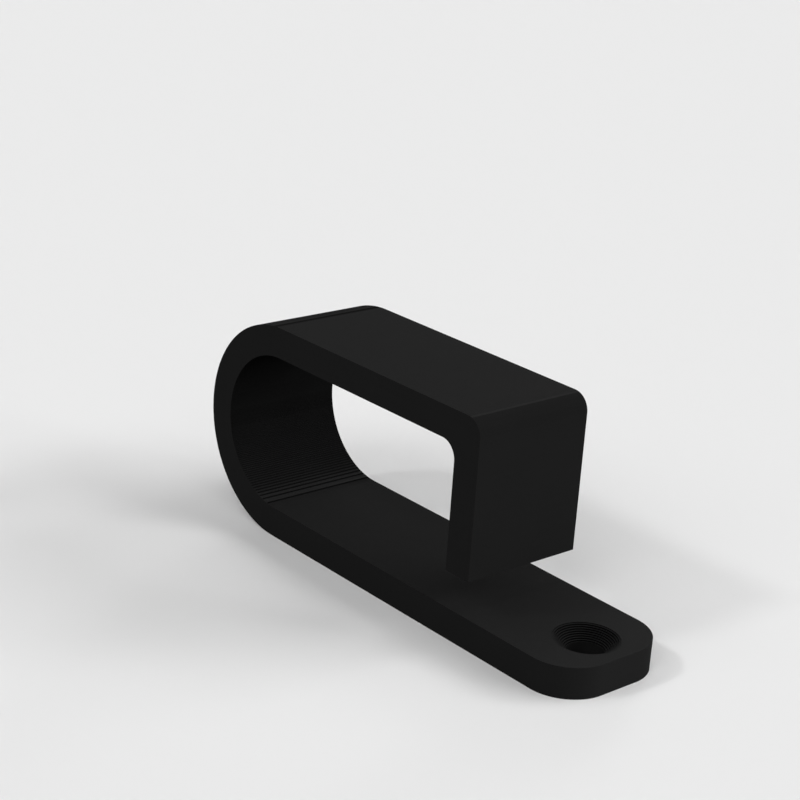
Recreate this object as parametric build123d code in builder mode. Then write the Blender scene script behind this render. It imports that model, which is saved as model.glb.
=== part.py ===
from build123d import *
import os

# A cable clip printed in one piece. One strip of even thickness starts as a screw tab, runs on as the
# base, turns back over itself in a half-round bend, becomes the roof of the cable channel, and drops as
# an arm that stops short of the base. The cable goes in through the mouth under the arm.
# X runs along the clip towards the tab, Y across it, Z up from the underside.
# The origin is where the screw's axis meets the underside.

# Driving dimensions, in millimetres and degrees
width = 15.0
wall_thickness = 3.5
channel_height = 18.0
channel_length = 38.5
corner_radius_outside = 2.0
corner_radius_inside = 2.0
mouth_height = 4.0
tab_length = 15.0
tab_corner_radius = 5.0
screw_to_tab_end = 5.0
screw_hole_diameter = 4.0
screw_head_diameter = 7.0
screw_head_angle = 90.0

# Heights above the underside
base_top = wall_thickness
ceiling = base_top + channel_height
overall_height = ceiling + wall_thickness
arm_foot = base_top + mouth_height

# Distances along X from the screw's axis
tab_end = screw_to_tab_end
arm_outside = tab_end - tab_length
arm_inside = arm_outside - wall_thickness
inner_bend_radius = channel_height / 2
outer_bend_radius = inner_bend_radius + wall_thickness
bend_axis = arm_inside - channel_length + inner_bend_radius
bend_centre = (bend_axis, overall_height / 2)

with BuildPart() as cable_clip:
    # The strip's side view, extruded to both sides of the middle plane. The bend is two half circles
    # on one centre, so it leaves the base and meets the roof without a kink.
    with BuildSketch(Plane.XZ):
        with BuildLine():
            Polyline(
                (bend_axis, base_top),
                (tab_end, base_top),
                (tab_end, 0),
                (bend_axis, 0),
            )
            CenterArc(bend_centre, outer_bend_radius, 90, 180)
            Polyline(
                (bend_axis, overall_height),
                (arm_outside, overall_height),
                (arm_outside, arm_foot),
                (arm_inside, arm_foot),
                (arm_inside, ceiling),
                (bend_axis, ceiling),
            )
            CenterArc(bend_centre, inner_bend_radius, 90, 180)
        make_face()
    extrude(amount=width / 2, both=True)

    # The knee where the roof turns down into the arm is rounded outside and inside.
    across = cable_clip.edges().filter_by(Axis.Y)
    knee_outside = across.filter_by_position(Axis.Z, overall_height, overall_height).sort_by(Axis.X)[-1]
    knee_inside = across.filter_by_position(Axis.Z, ceiling, ceiling).sort_by(Axis.X)[-1]
    fillet(knee_outside, radius=corner_radius_outside)
    fillet(knee_inside, radius=corner_radius_inside)

    # The tab's two free corners are rounded in plan.
    tab_corners = cable_clip.edges().filter_by(Axis.Z).group_by(Axis.X)[-1]
    fillet(tab_corners, radius=tab_corner_radius)

    # The screw goes down through the tab, with its flat head sunk flush.
    with Locations((0, 0, base_top)):
        CounterSinkHole(
            radius=screw_hole_diameter / 2,
            counter_sink_radius=screw_head_diameter / 2,
            depth=wall_thickness,
            counter_sink_angle=screw_head_angle,
        )

cable_clip.part.label = "cable_clip"
os.makedirs("parts", exist_ok=True)
export_step(cable_clip.part, "parts/cable_clip.step")
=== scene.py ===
# %% [markdown]
# ## A printed cable clip, dressed for its picture
# The clip is one strip of black plastic, printed flat on its underside. The CAD model gives its true size
# and place, so this script loads that model as a fixed frame and works in the same coordinates: X runs
# along the clip towards the screw tab, Y across it, Z up, and the screw's axis stands at the origin.

# %% Load the frame
import math

import bmesh
import bpy
from mathutils import Matrix, Vector


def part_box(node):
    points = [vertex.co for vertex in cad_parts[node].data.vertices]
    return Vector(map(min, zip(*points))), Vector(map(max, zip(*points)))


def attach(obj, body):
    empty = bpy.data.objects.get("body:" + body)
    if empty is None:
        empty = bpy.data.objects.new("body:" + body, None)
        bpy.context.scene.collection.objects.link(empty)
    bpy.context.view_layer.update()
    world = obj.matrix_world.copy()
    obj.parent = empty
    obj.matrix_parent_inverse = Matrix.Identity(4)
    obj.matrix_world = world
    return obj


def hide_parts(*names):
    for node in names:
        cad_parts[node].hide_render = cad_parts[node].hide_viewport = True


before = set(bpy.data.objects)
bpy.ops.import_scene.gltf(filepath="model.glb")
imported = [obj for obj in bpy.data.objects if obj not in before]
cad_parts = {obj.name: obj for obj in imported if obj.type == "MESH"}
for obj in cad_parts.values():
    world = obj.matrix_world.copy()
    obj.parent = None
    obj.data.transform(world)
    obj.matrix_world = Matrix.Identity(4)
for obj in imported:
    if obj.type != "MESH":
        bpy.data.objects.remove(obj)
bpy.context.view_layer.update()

# %% [markdown]
# ## The sizes
# A model that is easy to change is driven by a few numbers. The overall size is read from the frame, so
# it can't drift from the CAD. The other sizes are the clip's own, in millimetres, because that is how a
# maker would say them. Blender works in metres, so the finished mesh is scaled down once, at its end.

# %% Sizes in millimetres
METRE = 1000.0
low, high = [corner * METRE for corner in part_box("cable_clip")]
clip_width = high.y - low.y
clip_height = high.z - low.z
wall = 3.5
mouth_height = 4.0
tab_length = 15.0
tab_corner_radius = 5.0
knee_radius = 2.0
screw_hole_radius = 2.0
screw_head_radius = 3.5
layer = 0.175
print(f"clip {high.x - low.x:.1f} x {clip_width:.1f} x {clip_height:.1f} mm, layers of {layer} mm")

# %% [markdown]
# The places along the clip follow from the sizes. When a size changes, they all move with it.

# %% Heights and distances that follow
base_top = wall
ceiling = clip_height - wall
arm_foot = base_top + mouth_height
arm_outside = high.x - tab_length
arm_inside = arm_outside - wall
bend_radius = clip_height / 2
bend_axis = low.x + bend_radius
bend_height = clip_height / 2
print(f"bend's axis at x {bend_axis:.1f}, arm from x {arm_inside:.1f} to {arm_outside:.1f}")

# %% [markdown]
# ## The strip
# The real clip is a strip of even thickness: tab, base, half-round bend, roof and arm. It could be drawn
# as an outline and thickened, but a strip is easier to follow as a path. It starts as the flat end of
# the tab, one upright rectangle, and is pushed along from there.

# %% Make the end of the tab
def push(mesh, face, offset, leave_cap=False):
    """Extrude one face by an offset and return the face that moved."""
    made = bmesh.ops.extrude_face_region(mesh, geom=[face])["geom"]
    corners = [part for part in made if isinstance(part, bmesh.types.BMVert)]
    bmesh.ops.translate(mesh, verts=corners, vec=offset)
    if not leave_cap:
        bmesh.ops.delete(mesh, geom=[face], context="FACES_ONLY")
    return next(part for part in made if isinstance(part, bmesh.types.BMFace))


strip = bmesh.new()
bmesh.ops.create_grid(strip, x_segments=1, y_segments=1, size=0.5)
bmesh.ops.rotate(strip, verts=strip.verts, matrix=Matrix.Rotation(math.pi / 2, 3, "Y"))
bmesh.ops.scale(strip, verts=strip.verts, vec=(1, clip_width, wall))
bmesh.ops.translate(strip, verts=strip.verts, vec=(high.x, 0, wall / 2))
tab_end = strip.faces[:][0]
print("tab's end:", round(tab_end.calc_area(), 2), "mm2")

# %% [markdown]
# The face is pushed along the base, spun through half a turn for the bend, and pushed on along the roof
# in two steps. The second step ends above the arm, which gives the arm a square of its own to start from.

# %% Push and spin the face along the strip's path
bend_steps = 120
end_face = push(strip, tab_end, (bend_axis - high.x, 0, 0), leave_cap=True)
spun = bmesh.ops.spin(
    strip,
    geom=[end_face, *end_face.edges, *end_face.verts],
    cent=(bend_axis, 0, bend_height),
    axis=(0, 1, 0),
    dvec=(0, 0, 0),
    angle=math.pi,
    steps=bend_steps,
    use_merge=False,
    use_duplicate=False,
)
end_face = next(part for part in spun["geom_last"] if isinstance(part, bmesh.types.BMFace))
end_face = push(strip, end_face, (arm_inside - bend_axis, 0, 0))
end_face = push(strip, end_face, (wall, 0, 0))
print("strip so far:", len(strip.faces), "faces")


# %% [markdown]
# The arm is pulled down out of the square at the end of the roof's underside. That face is picked by
# where it is, which keeps working when the sizes change, while a face number wouldn't.

# %% Pull the arm down
def face_near(mesh, place):
    """The face whose middle is nearest to a place."""
    return min(mesh.faces, key=lambda face: (face.calc_center_median() - Vector(place)).length)


def cubic_cm(mesh):
    """The volume of a closed mesh in millimetres, in cubic centimetres."""
    return round(mesh.calc_volume() / 1000, 4)


arm_root = face_near(strip, (arm_inside + wall / 2, 0, ceiling))
push(strip, arm_root, (0, 0, arm_foot - ceiling))
bmesh.ops.recalc_face_normals(strip, faces=strip.faces)
print("volume of the sharp strip:", cubic_cm(strip), "cm3")

# %% [markdown]
# ## Rounded edges
# The knee is rounded outside and inside. A bevel with a profile of 0.5 is a true arc of a circle, so its
# width is the radius. The edges to round are picked by where they lie.

# %% Round the knee
near = 0.001
knee_steps = 30


def edges_at(mesh, x, z=None):
    """Edges that lie wholly at one X and, if given, one Z."""
    def fits(vert):
        return abs(vert.co.x - x) < near and (z is None or abs(vert.co.z - z) < near)
    return [edge for edge in mesh.edges if all(fits(vert) for vert in edge.verts)]


def round_off(mesh, edges, radius, steps):
    """Bevel edges to an arc."""
    bmesh.ops.bevel(
        mesh,
        geom=edges,
        offset=radius,
        segments=steps,
        profile=0.5,
        affect="EDGES",
        material=-1,
    )


round_off(strip, edges_at(strip, x=arm_outside, z=clip_height), knee_radius, knee_steps)
round_off(strip, edges_at(strip, x=arm_inside, z=ceiling), knee_radius, knee_steps)
print("rounded knee; volume", cubic_cm(strip), "cm3")

# %% [markdown]
# The tab's two free corners are rounded in plan. Their edges are the upright ones at the tab's end. The
# faces' normals are brought up to date afterwards, because the next step reads them.

# %% Round the tab's corners
corner_steps = 32
tab_corners = [
    edge for edge in edges_at(strip, x=high.x)
    if abs(edge.verts[0].co.z - edge.verts[1].co.z) > wall / 2
]
round_off(strip, tab_corners, tab_corner_radius, corner_steps)
for face in strip.faces:
    face.normal_update()
print("rounded", len(tab_corners), "tab corners; volume", cubic_cm(strip), "cm3")

# %% [markdown]
# ## Layers, for real
# A printer lays the clip down in flat layers, so a slope comes out as tiny stairs. They show best inside
# the bend, where its foot rises out of the base. A bump texture could fake them, but real stairs catch
# the light and keep their shape in a close view. Two helpers come first: one finds a round surface by
# its distance from an axis, and the other slices it with a plane.

# %% Find and slice a round surface
HAIR = 0.0001
sideways = 0.5
round_fit = 0.01


def faces_around(mesh, axis_x, axis_z, radius):
    """The faces of one round surface, without the strip's flat sides."""
    found = []
    for face in mesh.faces:
        middle = face.calc_center_median()
        reach = math.hypot(middle.x - axis_x, middle.z - axis_z)
        if abs(face.normal.y) < sideways and abs(reach - radius) < round_fit * radius:
            found.append(face)
    return found


def cut(mesh, parts, place, direction):
    """Bisect some geometry and return it with its new pieces."""
    made = bmesh.ops.bisect_plane(
        mesh,
        geom=parts,
        dist=HAIR / 10,
        plane_co=place,
        plane_no=direction,
    )
    return made["geom"]


print("faces inside the bend:", len(faces_around(strip, bend_axis, bend_height, bend_radius - wall)))

# %% [markdown]
# The surface is cut by a pair of planes a hair apart around the middle of every layer. The bend's outline
# in the photograph is smooth, so a narrow strip along each side is cut off first and keeps its smooth
# edge. Near the axis the wall stands almost upright, and its stairs would be finer than the mesh can
# hold, so no cuts are made there.

# %% Slice a round surface in layers
side_strip = 0.15
stairs_reach = clip_width / 2 - side_strip
upright_zone = 1.5 * layer


def layer_middles(axis_z, radius):
    """The heights half-way up the layers that a round surface passes."""
    first = math.ceil((axis_z - radius) / layer - 0.5)
    last = math.floor((axis_z + radius) / layer - 0.5)
    heights = [(number + 0.5) * layer for number in range(first, last + 1)]
    return [height for height in heights if abs(height - axis_z) > upright_zone]


def slice_in_layers(mesh, axis_x, axis_z, radius):
    """Cut a round surface around the middle of every layer and return its points."""
    faces = faces_around(mesh, axis_x, axis_z, radius)
    edges = dict.fromkeys(edge for face in faces for edge in face.edges)
    verts = dict.fromkeys(vert for face in faces for vert in face.verts)
    parts = [*faces, *edges, *verts]
    for side in (-stairs_reach, stairs_reach):
        parts = cut(mesh, parts, (0, side, 0), (0, 1, 0))
    for middle in layer_middles(axis_z, radius):
        for height in (middle - HAIR, middle + HAIR):
            parts = cut(mesh, parts, (0, 0, height), (0, 0, 1))
    return [part for part in parts if isinstance(part, bmesh.types.BMVert)]


print("risers inside the bend:", len(layer_middles(bend_height, bend_radius - wall)))

# %% [markdown]
# Then each point moves up or down to its nearest layer plane, and the thin band between each pair of
# cuts stretches into a riser. Inside the bend the stairs may go either way. Outside they may only cut
# into the bend, so that the clip keeps within its CAD size and its outline stays a true arc.

# %% Print the bend in layers
def print_in_layers(mesh, axis_x, axis_z, radius, keep_outline):
    """Turn one round surface into stairs, which may be kept from standing proud of it."""
    lowest, highest = axis_z - radius, axis_z + radius
    points = slice_in_layers(mesh, axis_x, axis_z, radius)
    for point in points:
        if abs(point.co.y) < stairs_reach + HAIR:
            plane = min(max(round(point.co.z / layer) * layer, lowest), highest)
            stands_proud = (plane - point.co.z) * (point.co.z - axis_z) > 0
            if not (keep_outline and stands_proud):
                point.co.z = plane
    print(f"radius {radius} mm: {len(points)} points in layers")


print_in_layers(strip, bend_axis, bend_height, bend_radius - wall, keep_outline=False)
print_in_layers(strip, bend_axis, bend_height, bend_radius, keep_outline=True)

# %% [markdown]
# The finest stairs leave points that all but touch, and these are merged. Which of two near points stays
# depends on their order, so they are sorted by place first, and every run gives the same mesh.

# %% Merge points that all but touch
merge_reach = 0.002


def merge_points(mesh):
    """Merge near points in a fixed order."""
    ordered = sorted(mesh.verts, key=lambda vert: vert.co[:])
    bmesh.ops.remove_doubles(mesh, verts=ordered, dist=merge_reach)


merge_points(strip)
print("printed strip:", len(strip.faces), "faces; volume", cubic_cm(strip), "cm3")

# %% [markdown]
# ## The screw hole
# The hole and its sunk cone for the screw's head are cut with a tool, as a drill would. The cone came out
# of the printer in rings, so the tool is a stack of discs. It starts above the tab as one round face and
# goes down to the first ring, which lies half a layer deep, as the rings in the photograph do.

# %% Start the tool for the hole
clearance = 1.0
hole_steps = 96
drill = bmesh.new()
bmesh.ops.create_circle(
    drill,
    cap_ends=True,
    cap_tris=False,
    segments=hole_steps,
    radius=screw_head_radius,
)
bmesh.ops.translate(drill, verts=drill.verts, vec=(0, 0, base_top + clearance))
drill_face = drill.faces[:][0]
drill_face = push(drill, drill_face, (0, 0, -clearance - layer / 2), leave_cap=True)
print("tool so far:", len(drill.faces), "faces")

# %% [markdown]
# The face is drawn in by a layer and pushed down by a layer, again and again, because a cone of 90
# degrees goes in as fast as it goes down. When it is as narrow as the hole, it goes right through.

# %% Step the tool down to the hole
ring_radius = screw_head_radius
rings = 0
while ring_radius > screw_hole_radius + HAIR:
    step = min(layer, ring_radius - screw_hole_radius)
    bmesh.ops.inset_region(drill, faces=[drill_face], thickness=step, depth=0, use_even_offset=True)
    ring_radius -= step
    rings += 1
    if ring_radius > screw_hole_radius + HAIR:
        drill_face = push(drill, drill_face, (0, 0, -layer))
push(drill, drill_face, (0, 0, -wall - clearance))
bmesh.ops.recalc_face_normals(drill, faces=drill.faces)
print("rings in the cone:", rings)


# %% [markdown]
# The tool is taken away from the strip by a Boolean modifier, and the result is kept as a plain mesh. The
# modifier and the tool aren't needed after that.

# %% Cut the hole
def to_object(mesh, name):
    """Put a bmesh into a new object of the scene."""
    data = bpy.data.meshes.new(name)
    mesh.to_mesh(data)
    mesh.free()
    made = bpy.data.objects.new(name, data)
    bpy.context.scene.collection.objects.link(made)
    return made


clip = to_object(strip, "printed_clip")
tool = to_object(drill, "drill")
boolean = clip.modifiers.new("screw hole", "BOOLEAN")
boolean.object = tool
boolean.operation = "DIFFERENCE"
boolean.solver = "EXACT"
drilled = bpy.data.meshes.new_from_object(clip.evaluated_get(bpy.context.evaluated_depsgraph_get()))
clip.modifiers.clear()
clip.data = drilled
bpy.data.objects.remove(tool)
print("drilled clip:", len(drilled.polygons), "faces")

# %% [markdown]
# ## The finished mesh
# A mesh that comes out of a Boolean gets a last look: near points are merged, slivers are dissolved and
# the faces are turned outwards. Then the open edges are counted, because a real thing has none.

# %% Tidy the mesh
sliver = 0.001
finished = bmesh.new()
finished.from_mesh(clip.data)
merge_points(finished)
bmesh.ops.dissolve_degenerate(finished, edges=finished.edges, dist=sliver)
bmesh.ops.recalc_face_normals(finished, faces=finished.faces)
open_edges = [edge for edge in finished.edges if len(edge.link_faces) != 2]
print("volume", cubic_cm(finished), "cm3; open edges", len(open_edges))

# %% [markdown]
# Smooth shading suits the arcs, and an edge with more than a small angle is marked sharp, so stairs and
# corners stay crisp. The mesh is brought to metres. Then it rides on the clip's body and takes the place
# of the CAD's node.

# %% Shade the clip and bring it to metres
sharp_angle = math.radians(25)
for face in finished.faces:
    face.smooth = True
for edge in finished.edges:
    edge.smooth = len(edge.link_faces) == 2 and edge.calc_face_angle() < sharp_angle
bmesh.ops.scale(finished, verts=finished.verts, vec=(1 / METRE, 1 / METRE, 1 / METRE))
finished.to_mesh(clip.data)
finished.free()
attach(clip, "root")
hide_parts("cable_clip")
print("clip:", len(clip.data.vertices), "points,", len(clip.data.polygons), "faces")

# %% [markdown]
# ## Shader maths
# Blender's shader maths is made of nodes. Wrapped in a small class, a node's socket can be used in a
# Python expression, and each operator adds its Math node. A comparison gives 1 where it holds and 0
# elsewhere, which makes a mask.

# %% A socket that can be calculated with
class Wire:
    """A socket that adds Math nodes when it is used in an expression."""

    def __init__(self, board, socket):
        self.board = board
        self.socket = socket

    def maths(self, operation, first, second=0.0):
        return self.board.node("ShaderNodeMath", {"operation": operation}, {0: first, 1: second})

    def __add__(self, other):
        return self.maths("ADD", self, other)

    def __sub__(self, other):
        return self.maths("SUBTRACT", self, other)

    def __rsub__(self, other):
        return self.maths("SUBTRACT", other, self)

    def __mul__(self, other):
        return self.maths("MULTIPLY", self, other)

    def __pow__(self, other):
        return self.maths("POWER", self, other)

    def __abs__(self):
        return self.maths("ABSOLUTE", self)

    def __lt__(self, other):
        return self.maths("LESS_THAN", self, other)

    def __gt__(self, other):
        return self.maths("GREATER_THAN", self, other)

    __radd__ = __add__
    __rmul__ = __mul__


# %% [markdown]
# Every other node comes from one method, which takes the node's type, its settings, and the values or
# links of its sockets.

# %% A board to put nodes on
class Board:
    """A material's or world's node tree, emptied."""

    def __init__(self, owner):
        owner.use_nodes = True
        self.tree = owner.node_tree
        self.tree.nodes.clear()

    def node(self, kind, settings, inputs, output=0):
        """Add a node, set it up, fill its sockets, and return one of its outputs."""
        made = self.tree.nodes.new(kind)
        for name, value in settings.items():
            setattr(made, name, value)
        for name, value in inputs.items():
            if isinstance(value, Wire):
                self.tree.links.new(value.socket, made.inputs[name])
            else:
                made.inputs[name].default_value = value
        return Wire(self, made.outputs[output]) if made.outputs else None


plastic = bpy.data.materials.new("printed_plastic")
board = Board(plastic)
clip.data.materials.clear()
clip.data.materials.append(plastic)
print("material of the clip:", clip.data.materials[0].name)


# %% [markdown]
# ## Black plastic
# The plastic is matt and nearly black. It has hardly any gloss, so it shows its shape by shade and not
# by highlights. Its patterns, painted light and shade among them, are worked out from each point's own
# place in millimetres, and from the way its surface faces, so they stay on the clip from every side.

# %% Read the place and the direction of the surface
def split(vector):
    """The three parts of a vector."""
    return [vector.board.node("ShaderNodeSeparateXYZ", {}, {"Vector": vector}, axis) for axis in "XYZ"]


def stretch(vector, scales):
    """A place scaled about the origin, each axis by its own factor."""
    return vector.board.node("ShaderNodeMapping", {}, {"Vector": vector, "Scale": scales})


place = board.node("ShaderNodeTexCoord", {}, {}, "Object")
place_mm = stretch(place, (METRE, METRE, METRE))
x_mm, y_mm, z_mm = split(place_mm)
facing_x, facing_y, facing_z = split(board.node("ShaderNodeTexCoord", {}, {}, "Normal"))
print("nodes for the place:", len(board.tree.nodes))


# %% [markdown]
# Up close the plastic isn't one flat tone: the pigment is a little uneven, each layer cools a little
# differently, and the surface has a fine grain. Each is a noise of its own size. The noise for the
# layers is stretched along the clip and squeezed to one layer in height.

# %% Mix the uneven pigment
def noise(vector, scale, detail, roughness):
    """A cloudy value between nought and one."""
    return vector.board.node(
        "ShaderNodeTexNoise",
        {"noise_dimensions": "3D"},
        {"Vector": vector, "Scale": scale, "Detail": detail, "Roughness": roughness},
        "Fac",
    )


def grey(level):
    """A grey colour."""
    return (level, level, level, 1)


def mix(factor, first, second):
    """Go from one colour to another."""
    return factor.board.node(
        "ShaderNodeMix",
        {"data_type": "RGBA"},
        {"Factor": factor, "A": first, "B": second},
        "Result",
    )


streaks_per_mm = 0.02
layer_place = stretch(place, (streaks_per_mm * METRE, streaks_per_mm * METRE, METRE / layer))
cloud = noise(place_mm, scale=0.12, detail=3.0, roughness=0.6)
layer_tint = noise(layer_place, scale=1.0, detail=0.0, roughness=0.5)
grain = noise(place_mm, scale=9.0, detail=2.0, roughness=0.5)
deep_black = 0.0124
pale_black = 0.0162
tone = mix(0.5 * cloud + 0.25 * layer_tint + 0.25 * grain, grey(deep_black), grey(pale_black))
print("nodes with the pigment:", len(board.tree.nodes))


# %% [markdown]
# ## Painted shade on the edges of the layers
# The upright edges of the layers are painted darker than their tops, as painted shade. Inside the bend
# and in the screw hole the edges are the upright faces of the real stairs, so the way a face looks is
# enough to find them. The painted shade is a share of full black. Inside the bend it is strongest on the
# lowest stairs.

# %% Find the stair edges inside the bend for painted shade
low_stair_shade = 0.55
high_stair_shade = 0.46


def at_least(value, lowest):
    """A value that is held above a limit."""
    return value.maths("MAXIMUM", value, lowest)


def ramp(value, start, end, first=0.0, last=1.0):
    """A smooth change from one value to another along a range."""
    return value.board.node(
        "ShaderNodeMapRange",
        {"interpolation_type": "SMOOTHSTEP"},
        {"Value": value, "From Min": start, "From Max": end, "To Min": first, "To Max": last},
    )


before_bend = x_mm < bend_axis
stair_shade = ramp(
    z_mm,
    base_top + 2 * layer,
    base_top + 8 * layer,
    low_stair_shade,
    high_stair_shade,
)
# painted shade on the upright stair faces inside the bend
stair_painted_shade = before_bend * at_least(facing_x, 0.0) * stair_shade
print("nodes with the stairs:", len(board.tree.nodes))

# %% [markdown]
# In the screw hole the rings' edges get painted shade, and the plain bore under them gets a weaker
# painted shade.

# %% Find the ring edges in the screw hole for painted shade
cone_shade = 0.75
bore_shade = 0.35
hair_below = 0.01
hole_reach = screw_head_radius + 0.1
in_hole = x_mm * x_mm + y_mm * y_mm < hole_reach ** 2
cone_bottom = base_top - (screw_head_radius - screw_hole_radius)
ring_shade = ramp(z_mm, cone_bottom - hair_below, cone_bottom, bore_shade, cone_shade)
# painted shade on the rings' edges, and a weaker one on the bore
ring_painted_shade = in_hole * (1 - facing_z * facing_z) * ring_shade
print("nodes with the rings:", len(board.tree.nodes))

# %% [markdown]
# On the outside of the bend the stairs are only half a layer high, and near the roof they lie so flat
# that they are seen almost from above. So painted shade is drawn there as dark lines, found by height:
# from a point's X follows the height of the arc there, and the part of a layer that this height has
# passed says how far the middle of the layer is. First comes the mask that keeps the painted lines to the
# upper outside.

# %% Keep to the upper outside of the bend
from_axis = x_mm - bend_axis
above_axis = z_mm - bend_height
outside_from = bend_radius - 0.5
far_out = from_axis * from_axis + above_axis * above_axis > outside_from ** 2
upper_half = above_axis > 0.0
not_a_side = abs(facing_y) < sideways
on_outside = before_bend * far_out * upper_half * not_a_side
print("grooves outside from radius", outside_from, "mm")

# %% [markdown]
# A painted dark line is full in its core and fades to its rim, both given in layers. Down the bend the
# painted lines fade out, because the half-high stairs stand close there and show by themselves. The fade
# is given as a share of the way from the bend's axis up to its top.

# %% Paint dark lines of shade on the bend
dark_line_at = 0.46
dark_line_core = 0.12
dark_line_rim = 0.32
fade_out_at = 0.4
full_above = 0.95
arc_rise = at_least(bend_radius ** 2 - from_axis * from_axis, 0.0) ** 0.5
layers_up = (arc_rise + bend_height) * (1 / layer)
within_layer = layers_up.maths("FRACT", layers_up)
off_dark_line = abs(within_layer - dark_line_at)
# painted shade: dark lines on the upper outside of the bend
bend_painted_shade = on_outside * ramp(arc_rise * (1 / bend_radius), fade_out_at, full_above)
bend_painted_shade = bend_painted_shade * ramp(off_dark_line, dark_line_core, dark_line_rim, 1.0, 0.0)
print("nodes with the grooves:", len(board.tree.nodes))

# %% [markdown]
# The knee's arc is small and its outline is smooth, so its layers are only a change of tone, and that
# tone is painted light and shade. Below the first edge every upward slope, the knee's and the outer
# bend's, gets painted shade, darkest where it leans half-way. Above the edge a thin rim gets a painted
# highlight. The rim starts where the surface begins to lean towards the arm.

# %% Paint shade on the slopes and a highlight on the knee
rim_lean = 0.1
first_edge = clip_height - layer / 2
steepness = at_least(2 * abs(facing_x) * facing_z, 0.0)
# painted shade on the upward slopes below the first edge
slope_painted_shade = (z_mm < first_edge) * steepness ** 0.5
# painted highlight on the knee's rim
knee_painted_highlight = (z_mm > first_edge) * ramp(facing_x, rim_lean, 2 * rim_lean)
print(f"first edge at {first_edge:.4f} mm")

# %% [markdown]
# A few more places get painted light: a painted highlight on the tops of the lowest stairs and of the
# rings, and painted light on the tab's top and end. The painted light on the tab grows from under the arm
# to the tab's end.

# %% Find the places with painted light
clear_of_base = 0.05
stair_highlight_lift = 0.3
nearly_level = 0.9
faces_up = facing_z > nearly_level
# painted highlight on the tops of the lowest stairs
stair_painted_highlight = before_bend * faces_up * (z_mm > base_top + clear_of_base)
stair_painted_highlight = stair_painted_highlight * ramp(z_mm, base_top + layer, base_top + 6 * layer, stair_highlight_lift, 0.0)
# painted highlight on the tops of the rings
ring_painted_highlight = in_hole * faces_up * (z_mm < base_top - clear_of_base)
under_arm = 2.0
tab_light_start = arm_outside - under_arm
# painted light on the tab, paler towards its end
painted_tab_light = (1 - in_hole) * ramp(x_mm, tab_light_start, high.x) * (1 - abs(facing_y))
print(f"rubbed from x {tab_light_start:.1f} mm to {high.x:.1f} mm")

# %% [markdown]
# The masks are added up with their strengths. The painted shade takes the tone towards full black, and
# the painted light takes it towards a dark grey.

# %% Put the tones together
dark_line_shade = 0.8
slope_shade = 0.24
knee_highlight_lift = 0.3
ring_highlight_lift = 0.1
tab_light_lift = 0.2
painted_light_grey = 0.03
darker = stair_painted_shade + ring_painted_shade + dark_line_shade * bend_painted_shade + slope_shade * slope_painted_shade
paler = knee_highlight_lift * knee_painted_highlight + stair_painted_highlight + ring_highlight_lift * ring_painted_highlight + tab_light_lift * painted_tab_light
tone = mix(darker, tone, grey(0.0))
tone = mix(paler, tone, grey(painted_light_grey))
print("nodes with all tones:", len(board.tree.nodes))

# %% [markdown]
# The grain also makes a very low bump, too fine for a mesh. What is the same all over the clip is set on
# the shader itself.

# %% Finish the plastic
grain_height = 0.00002
grain_strength = 0.25
roughness = 0.5
roughness_spread = 0.1
bump = board.node(
    "ShaderNodeBump",
    {},
    {"Strength": grain_strength, "Distance": grain_height, "Height": grain},
)
surface = board.node(
    "ShaderNodeBsdfPrincipled",
    {},
    {
        "Base Color": tone,
        "Roughness": roughness + roughness_spread * (cloud - 0.5),
        "Normal": bump,
        "Specular IOR Level": 0.001,
    },
)
board.node("ShaderNodeOutputMaterial", {}, {"Surface": surface})
print("plastic nodes:", len(board.tree.nodes))


# %% [markdown]
# ## The floor and the background
# The photograph shows a pale, even floor with soft shadows and no horizon. A wide plane does that. Its
# tone is as pale as the photograph's for the camera and in reflections, and darker for the light that
# it throws back, so that the black clip isn't lit too much from below.

# %% Lay the floor
def seen_by(board, *kinds):
    """One for the kinds of rays that are named, and nought for the others."""
    rays = [board.node("ShaderNodeLightPath", {}, {}, kind) for kind in kinds]
    return board.node("ShaderNodeClamp", {}, {"Value": sum(rays)})


floor_size = 20
floor_tone = 0.83
floor_bounce = 0.4
shown_to = ("Is Camera Ray", "Is Glossy Ray", "Is Transmission Ray")
floor_mesh = bmesh.new()
bmesh.ops.create_grid(floor_mesh, x_segments=1, y_segments=1, size=floor_size)
floor = to_object(floor_mesh, "floor")
paper = bpy.data.materials.new("pale_floor")
board = Board(paper)
tone = mix(seen_by(board, *shown_to), grey(floor_bounce), grey(floor_tone))
surface = board.node(
    "ShaderNodeBsdfPrincipled",
    {},
    {"Base Color": tone, "Roughness": 1.0, "Specular IOR Level": 0.0},
)
board.node("ShaderNodeOutputMaterial", {}, {"Surface": surface})
floor.data.materials.append(paper)
print("floor:", 2 * floor_size, "metres wide")

# %% [markdown]
# Behind the floor's far edge the camera sees the world, in the floor's tone. The world is only seen: it
# lights nothing, and the lamps do all the lighting.

# %% Hang the background
world = bpy.data.worlds.new("studio")
bpy.context.scene.world = world
board = Board(world)
strength = floor_tone * seen_by(board, *shown_to)
sky = board.node("ShaderNodeBackground", {}, {"Color": grey(1.0), "Strength": strength})
board.node("ShaderNodeOutputWorld", {}, {"Surface": sky})
print("world nodes:", len(board.tree.nodes))

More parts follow.
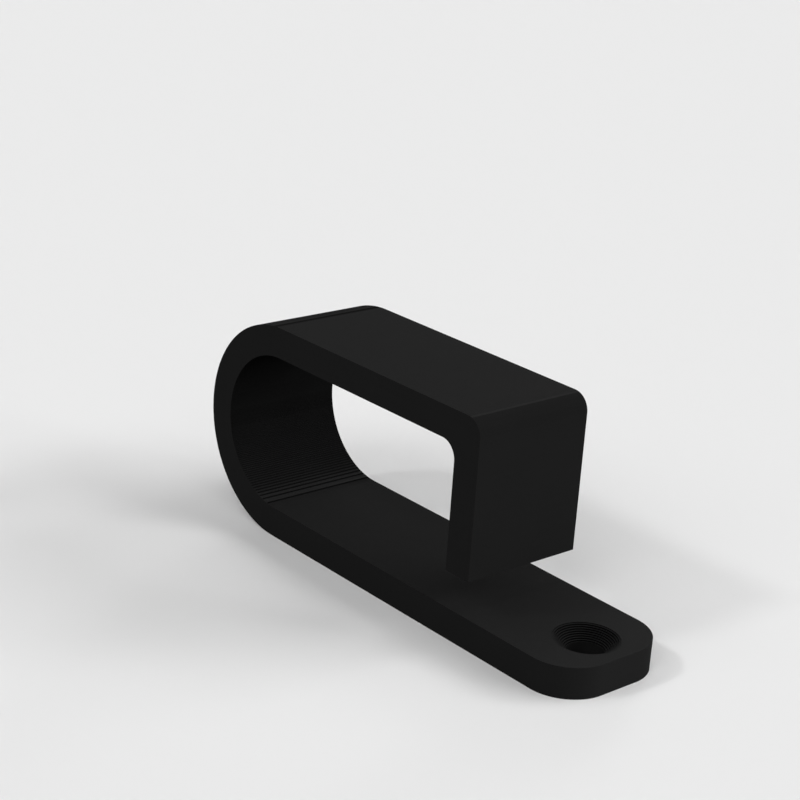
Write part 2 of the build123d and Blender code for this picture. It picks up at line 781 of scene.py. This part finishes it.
# %% [markdown]
# ## Lamps
# Each lamp is a sun with a wide disc. A sun lights the floor equally strongly everywhere, so the floor
# stays one even tone, and a wide disc makes its shadow soft. A lamp is given by the compass angle it
# comes from, how high it stands, how wide it looks, all in degrees, and its strength. A strength of 1
# from straight above would show a white floor as white.

# %% Hang the lamps
lamps = {
    "low_right": (30, 8, 10, 0.217),
    "right": (40, 30, 12, 0.106),
    "high_right": (20, 36, 12, 0.082),
    "back_right": (50, 26, 12, 0.103),
    "far_back_right": (60, 24, 12, 0.150),
    "back": (75, 37, 20, 0.130),
    "low_back": (120, 8, 14, 0.252),
    "back_left": (130, 15, 16, 0.035),
    "side_right": (340, 43, 30, 0.113),
    "front_right": (300, 43, 30, 0.240),
    "front": (270, 36, 30, 0.131),
    "front_left": (244, 43, 8, 0.167),
    "left": (220, 50, 20, 0.060),
    "high_back": (80, 55, 40, 0.103),
    "high_left": (160, 55, 40, 0.093),
}
for name, (compass, rise, breadth, strength) in lamps.items():
    lamp = bpy.data.lights.new(name, "SUN")
    lamp.angle = math.radians(breadth)
    lamp.energy = math.pi * strength
    holder = bpy.data.objects.new(name, lamp)
    bpy.context.scene.collection.objects.link(holder)
    holder.rotation_euler = (math.radians(90 - rise), 0, math.radians(compass + 90))
    print(f"{name}: {lamp.energy:.2f} W/m2")

# %% [markdown]
# ## The camera
# The camera stands where the photograph's did, found from the clip's own edges: its place, the way it
# looks, and which way is up in the picture.

# %% Set up the camera
camera_place = Vector((115.1987, -128.0882, 89.9564)) / METRE
looks_along = Vector((-0.706453, 0.619338, -0.342556))
picture_up = Vector((-0.301967, 0.173984, 0.937308))
picture_right = looks_along.cross(picture_up).normalized()
picture_up = picture_right.cross(looks_along).normalized()
camera_data = bpy.data.cameras.new("camera")
camera_data.lens = 85
camera_data.sensor_width = 36
camera_data.clip_start = 0.001
camera = bpy.data.objects.new("camera", camera_data)
bpy.context.scene.collection.objects.link(camera)
turn = Matrix((picture_right, picture_up, -looks_along.normalized())).transposed()
camera.matrix_world = Matrix.Translation(camera_place) @ turn.to_4x4()
bpy.context.scene.camera = camera
bpy.context.scene.view_settings.view_transform = "Standard"
print(f"camera {camera_place.length:.3f} m from the screw hole, lens {camera_data.lens} mm")
